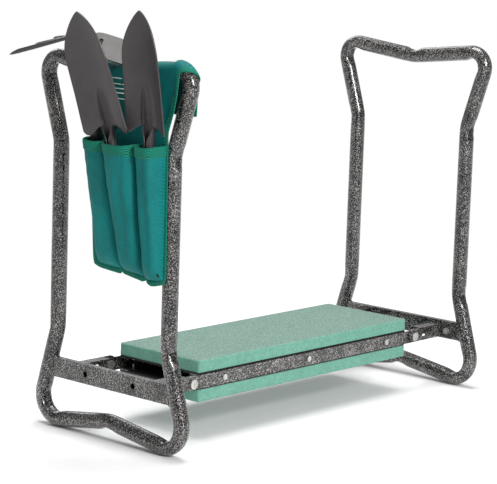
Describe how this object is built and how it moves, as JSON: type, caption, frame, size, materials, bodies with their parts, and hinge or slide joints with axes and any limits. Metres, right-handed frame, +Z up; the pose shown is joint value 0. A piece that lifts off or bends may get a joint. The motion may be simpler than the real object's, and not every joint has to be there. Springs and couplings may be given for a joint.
{
  "type": "folding garden kneeler seat",
  "caption": "Folding garden kneeler and seat: bent-tube end frames hinged to a foam-padded deck, with a hanging cloth tool pouch that holds hand tools.",
  "frame": {"origin": "on the floor, midway between the two end frames and on the deck's centre line", "axes": "X along the deck with the pouch at the -X end, Y across the deck, +Z up"},
  "size_m": [0.6833, 0.2708, 0.5498],
  "materials": {
    "frame_paint": "near-black hammertone powder coat with light grey veining",
    "zinc": "bright zinc plate",
    "nylon": "moulded nylon",
    "board": "plain black plastic sheet",
    "foam": "closed-cell foam, finely embossed on its face",
    "pouch_cloth": "teal woven polyester",
    "pouch_tape": "green binding tape",
    "strip": "black hook-and-loop tape",
    "tool_steel": "dark grey satin coating",
    "grip": "moulded black plastic"
  },
  "bodies": {
    "deck": {"front_rail": "frame_paint", "rear_rail": "frame_paint", "left_cross_member": "frame_paint", "middle_cross_member": "frame_paint", "right_cross_member": "frame_paint", "member_end_plugs": "nylon", "front_rail_screws": "zinc", "rear_rail_screws": "zinc", "left_hinge_rivets": "zinc", "right_hinge_rivets": "zinc", "left_hinge_washers": "nylon", "right_hinge_washers": "nylon", "kneeling_board": "board", "seat_board": "board", "kneeling_board_screws": "zinc", "seat_board_screws": "zinc", "kneeling_pad": "foam", "seat_pad": "foam"},
    "left_end_frame": {"left_tube_frame": "frame_paint", "left_crossbar": "frame_paint", "left_front_arm": "frame_paint", "left_rear_arm": "frame_paint", "left_arm_bolts": "zinc", "pouch_back_cloth": "pouch_cloth", "left_pocket": "pouch_cloth", "middle_pocket": "pouch_cloth", "right_pocket": "pouch_cloth", "pouch_binding": "pouch_tape", "pocket_hems": "pouch_tape", "hook_and_loop_strips": "strip"},
    "right_end_frame": {"right_tube_frame": "frame_paint", "right_crossbar": "frame_paint", "right_front_arm": "frame_paint", "right_rear_arm": "frame_paint", "right_arm_bolts": "zinc"},
    "trowel": {"trowel_blade": "tool_steel", "trowel_grip": "grip"},
    "transplanter": {"transplanter_blade": "tool_steel", "transplanter_grip": "grip"},
    "hoe_cultivator": {"hoe_shank": "tool_steel", "hoe_blade": "tool_steel", "cultivator_prongs": "tool_steel", "hoe_grip": "grip"}
  },
  "joints": [
    {"name": "right_fold", "type": "hinge", "parent": "deck", "child": "right_end_frame", "pos_m": [0.2285, 0, 0.076], "axis": [0, -1, 0], "range_deg": [0, 90]},
    {"name": "left_fold", "type": "hinge", "parent": "deck", "child": "left_end_frame", "pos_m": [-0.2285, 0, 0.076], "axis": [0, 1, 0], "range_deg": [0, 68]},
    {"name": "trowel_lift", "type": "slide", "parent": "left_end_frame", "child": "trowel", "axis": [-0.1036, 0.1305, 0.986], "range_m": [0, 0.05]},
    {"name": "transplanter_lift", "type": "slide", "parent": "left_end_frame", "child": "transplanter", "axis": [0, -0.0174, 0.9998], "range_m": [0, 0.09]},
    {"name": "hoe_lift", "type": "slide", "parent": "left_end_frame", "child": "hoe_cultivator", "axis": [0, 0.165, 0.9863], "range_m": [0, 0.09]}
  ]
}
